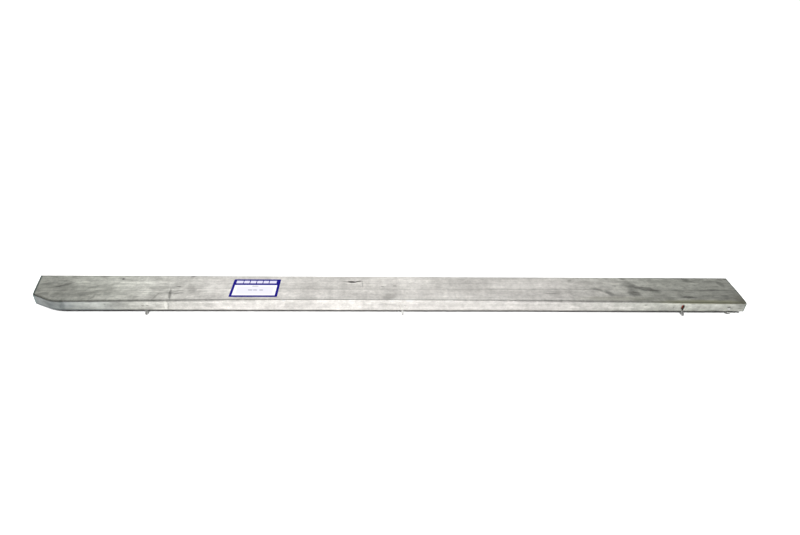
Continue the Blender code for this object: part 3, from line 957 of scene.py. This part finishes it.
def filleted(corner, before, after, radius, count=6):
    """An arc that rounds the corner between two directions, as points in (y, z)."""
    back, ahead = (before - corner).normalized(), (after - corner).normalized()
    half = back.angle(ahead) / 2
    start = corner + back * radius / math.tan(half)
    end = corner + ahead * radius / math.tan(half)
    centre = corner + (back + ahead).normalized() * radius / math.sin(half)
    chord = [start.lerp(end, step / count) for step in range(count + 1)]
    return [centre + (point - centre).normalized() * radius for point in chord]


def hook_half_width(z, neck):
    """Half the hook's width at a height: a plate, a shoulder, a hollow taper, a prong and a blunt tip."""
    if z > Z_SKIRT:
        return neck + (PLATE_HALF - neck) * ease((z - Z_SKIRT) / SHEET)
    if z > NECK_END:
        return PRONG_HALF + (neck - PRONG_HALF) * ((z - NECK_END) / (Z_SKIRT - NECK_END)) ** 2
    if z > TIP_LOW + TIP_RISE:
        return PRONG_HALF
    return TIP_HALF + (PRONG_HALF - TIP_HALF) * max(z - TIP_LOW, 0) / TIP_RISE


def hook(side, openings):
    node = f"tie_hook_{side}"
    station = middle_of(node).x
    top = Vector((Y_INSIDE, PLATE_TOP))
    bend = Vector((Y_INSIDE, HOOK_BEND))
    arc = filleted(bend, top, Vector((Y_FRONT - HOOK_REACH, 0)), HOOK_FILLET)
    tip = arc[-1].lerp(Vector((Y_FRONT - HOOK_REACH, 0)), 1 - TIP_LOW / arc[-1].y)
    path = [Vector((Y_INSIDE, z)) for z in steps(PLATE_TOP, Z_SKIRT + SHEET, 6)]
    path += [Vector((Y_INSIDE, z)) for z in steps(Z_SKIRT + SHEET, arc[0].y, 6)[1:-1]]
    foot = arc[-1].lerp(tip, 1 - TIP_RISE / (arc[-1].y - TIP_LOW))
    path += arc + [arc[-1].lerp(foot, step / 12) for step in range(1, 13)] + [tip]
    rows = []
    for point in path:
        half = hook_half_width(point.y, NECK_HALF[side])
        rows.append([Vector((station + half * share, point.x, point.y)) for share in steps(-1, 1, 8)])
    piece = sheet_piece(f"hook_{side}", rows, INWARD, FIXING_METAL, openings)
    ease_rims(piece, RIM)
    own(piece, node)


def foot_half_width(distance):
    """Half the tab's width this far from the end of its foot, which is round."""
    if distance >= FOOT_ROUND:
        return TAB_HALF
    return TAB_HALF - FOOT_ROUND + math.sqrt(FOOT_ROUND**2 - (FOOT_ROUND - distance) ** 2)


def tab(openings):
    station = (TAB_LOW.x + TAB_HIGH.x) / 2 + TAB_SHIFT
    level = Z_SKIRT - 2 * GAP
    top = Vector((Y_INSIDE, TAB_HIGH.z))
    toe = Vector((TAB_LOW.y + TOE_SHORT, level - SHEET / 2))
    arc = filleted(Vector((Y_INSIDE, level)), top, toe, TAB_FILLET)
    length = (toe - arc[-1]).length
    path = [Vector((Y_INSIDE, z)) for z in steps(TAB_HIGH.z, arc[0].y, 8)[:-1]] + arc
    path += [toe.lerp(arc[-1], FOOT_ROUND * share / length) for share in (1, 0.75, 0.5, 0.3, 0.15, 0.05, 0)]
    rows = []
    for point in path:
        half = foot_half_width((point - toe).length)
        rows.append([Vector((station + half * share, point.x, point.y)) for share in steps(-1, 1, 10)])
    piece = sheet_piece("tab", rows, INWARD, FIXING_METAL, openings)
    ease_rims(piece, RIM)
    own(piece, "end_tab")


RIVET_RING = 28
SHANK_RADIUS = 0.0014
SEAT = 0.00002  # a hair of air under a rivet's head and under the label


def rivet(node):
    """A blind rivet: a low dimpled head, a shank and a spread tail."""
    low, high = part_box(node)
    centre = (low + high) / 2
    radius = (high.x - low.x) / 2
    head = Y_FRONT - low.y
    inside = Y_FRONT - high.y
    back = -2 * (SHEET + GAP)
    profile = [
        (0, head * 0.55),
        (radius * 0.20, head * 0.55),
        (radius * 0.26, head * 0.90),
        (radius * 0.45, head),
        (radius * 0.75, head * 0.85),
        (radius * 0.93, head * 0.50),
        (radius, head * 0.15),
        (radius * 0.98, SEAT),
        (SHANK_RADIUS, SEAT),
        (SHANK_RADIUS, back),
        (radius * 0.95, back),
        (radius, back + (inside - back) * 0.4),
        (radius * 0.75, back + (inside - back) * 0.85),
        (0, inside),
    ]
    bm = bmesh.new()
    rings = []
    for ring_radius, height in profile:
        angles = steps(0, 2 * math.pi, RIVET_RING)[:-1] if ring_radius else [0]
        ring = []
        for angle in angles:
            x = centre.x + ring_radius * math.cos(angle)
            z = centre.z + ring_radius * math.sin(angle)
            ring.append(bm.verts.new((x, Y_FRONT - height, z)))
        rings.append(ring)
    for first, second in zip(rings, rings[1:]):
        for index in range(RIVET_RING):
            following = (index + 1) % RIVET_RING
            corners = [first[index % len(first)], second[index % len(second)]]
            corners += [second[following % len(second)], first[following % len(first)]]
            bm.faces.new(dict.fromkeys(corners))
    bmesh.ops.recalc_face_normals(bm, faces=bm.faces)
    metal = FIXING_METAL if node == TAB_RIVET else SHEET_METAL  # the hooks' rivets have dulled like the sheet
    piece = place_object(node.replace("rivet", "fastener"), mesh_from(bm, node), metal)
    smooth(piece.data)
    own(piece, node)


# ---------------------------------------------------------------- label

CORNER_ROUND = 0.0016
LABEL_THICKNESS = 0.00014
LABEL_CURL = 0.0002


def label_places(half):
    """Places across the label, closer at its rounded corners."""
    rim = [half - CORNER_ROUND * share for share in (0, 0.25, 0.5, 0.75)]
    return [-place for place in rim] + steps(CORNER_ROUND - half, half - CORNER_ROUND, 16) + rim[::-1]


def rounded_corner(u, v):
    """Draws the label's grid in so that its corners are round."""
    over_u = max(abs(u) - LABEL_HALF.x + CORNER_ROUND, 0) / CORNER_ROUND
    over_v = max(abs(v) - LABEL_HALF.y + CORNER_ROUND, 0) / CORNER_ROUND
    pull_u = CORNER_ROUND * over_u * (1 - math.sqrt(1 - over_v**2 / 2))
    pull_v = CORNER_ROUND * over_v * (1 - math.sqrt(1 - over_u**2 / 2))
    return u - math.copysign(pull_u, u), v - math.copysign(pull_v, v)


def label():
    start_across = Z_TOP - BEND_RADIUS - Z_SKIRT + BEND_RADIUS * math.pi / 2
    rows = []
    for v in label_places(LABEL_HALF.y):
        row = []
        for u in label_places(LABEL_HALF.x):
            shift_x, shift_y = rounded_corner(u, v)
            x, y = LABEL_MIDDLE.x + shift_x, LABEL_MIDDLE.y + shift_y
            across = start_across + y - Y_FRONT - BEND_RADIUS
            lift = waviness(x, across) - SLOW_WAVE - QUICK_WAVE + LABEL_THICKNESS + SEAT
            curl = ease((u / LABEL_HALF.x - 0.6) / 0.4) * ease((-v / LABEL_HALF.y - 0.5) / 0.5)
            row.append(Vector((x, y, Z_TOP + lift + LABEL_CURL * curl)))
        rows.append(row)
    piece = sheet_piece("label", rows, DOWN, LABEL_PRINT, thickness=LABEL_THICKNESS)
    smooth(piece.data)
    own(piece, "parts_label")


# ---------------------------------------------------------------- build the pieces

cutter = openings_cutter()
folded_panel(cutter)
corner_strip()
corner_beads()
for hook_side in ("left", "middle", "right"):
    hook(hook_side, cutter)
tab(cutter)
for rivet_node in (*HOOK_RIVETS, TAB_RIVET):
    rivet(rivet_node)
label()
bpy.data.objects.remove(cutter, do_unlink=True)

# ---------------------------------------------------------------- camera and studio


LENS = 27.50
CAMERA_PLACE = (-0.0224, Y_FRONT - 0.8187, Z_TOP + 0.5628)
PITCH_YAW_ROLL = (31.39, -2.47, 1.56)
FLOOR_HALF = 12
OVERALL_POWER = 5.0
OVERALL_ANGLE = math.radians(12)
OVERALL_TURN = (math.radians(43), 0, math.radians(-4))


def make_camera():
    """A wide-angle view from the front, a little above and tipped slightly."""
    camera = bpy.data.objects.new("camera", bpy.data.cameras.new("camera"))
    bpy.context.scene.collection.objects.link(camera)
    camera.data.lens = LENS
    camera.data.clip_start = 0.05
    camera.data.clip_end = 40
    camera.location = CAMERA_PLACE
    pitch, yaw, roll = (math.radians(angle) for angle in PITCH_YAW_ROLL)
    forward = Vector((-math.sin(yaw) * math.cos(pitch), math.cos(yaw) * math.cos(pitch), -math.sin(pitch)))
    level = Vector((math.cos(yaw), math.sin(yaw), 0))
    upright = level.cross(forward)
    right = level * math.cos(roll) + upright * math.sin(roll)
    up = upright * math.cos(roll) - level * math.sin(roll)
    turn = Matrix((right, up, -forward)).transposed().to_4x4()
    camera.matrix_world = Matrix.Translation(camera.location) @ turn
    bpy.context.scene.camera = camera


def area_light(name, size, watts, place, target):
    light = bpy.data.lights.new(name, "AREA")
    light.shape = "RECTANGLE"
    light.size, light.size_y = size
    light.energy = watts
    lamp = bpy.data.objects.new(name, light)
    lamp.location = place
    lamp.rotation_euler = (Vector(target) - lamp.location).to_track_quat("-Z", "Y").to_euler()
    lamp.visible_camera = False
    bpy.context.scene.collection.objects.link(lamp)


def dim_room():
    """A dim room behind the camera, lighter behind the object."""
    world = bpy.data.worlds.new("studio")
    bpy.context.scene.world = world
    world.use_nodes = True
    nodes, links = world.node_tree.nodes, world.node_tree.links
    axes = nodes.new("ShaderNodeSeparateXYZ")
    links.new(nodes.new("ShaderNodeTexCoord").outputs["Generated"], axes.inputs[0])
    fade = nodes.new("ShaderNodeMapRange")
    fade.interpolation_type = "SMOOTHSTEP"
    for name, number in (("From Min", 0.0), ("From Max", 0.85), ("To Min", 0.10), ("To Max", 0.45)):
        fade.inputs[name].default_value = number
    links.new(axes.outputs["Y"], fade.inputs["Value"])
    nodes["Background"].inputs["Color"].default_value = (1, 1, 0.985, 1)
    links.new(fade.outputs["Result"], nodes["Background"].inputs["Strength"])


def make_studio():
    bm = bmesh.new()
    bmesh.ops.create_grid(bm, x_segments=1, y_segments=1, size=FLOOR_HALF)
    paper = Surface("white_paper", 0.0)
    floor = place_object("floor", mesh_from(bm, "floor"), paper.finish((0.92, 0.92, 0.92, 1), 0.9))
    dim_room()

    sun = bpy.data.objects.new("overall", bpy.data.lights.new("overall", "SUN"))
    sun.data.energy = OVERALL_POWER
    sun.data.angle = OVERALL_ANGLE
    sun.rotation_euler = OVERALL_TURN
    sun.visible_glossy = False
    bpy.context.scene.collection.objects.link(sun)

    area_light("key", (1.2, 0.5), 9.0, (-0.05, -1.1, 1.25), (0, 0, 0))
    area_light("rear", (2.6, 1.0), 9.0, (-0.15, 1.9, 1.35), (-0.05, 0, 0))


make_camera()
make_studio()
bpy.context.scene.view_settings.view_transform = "Standard"
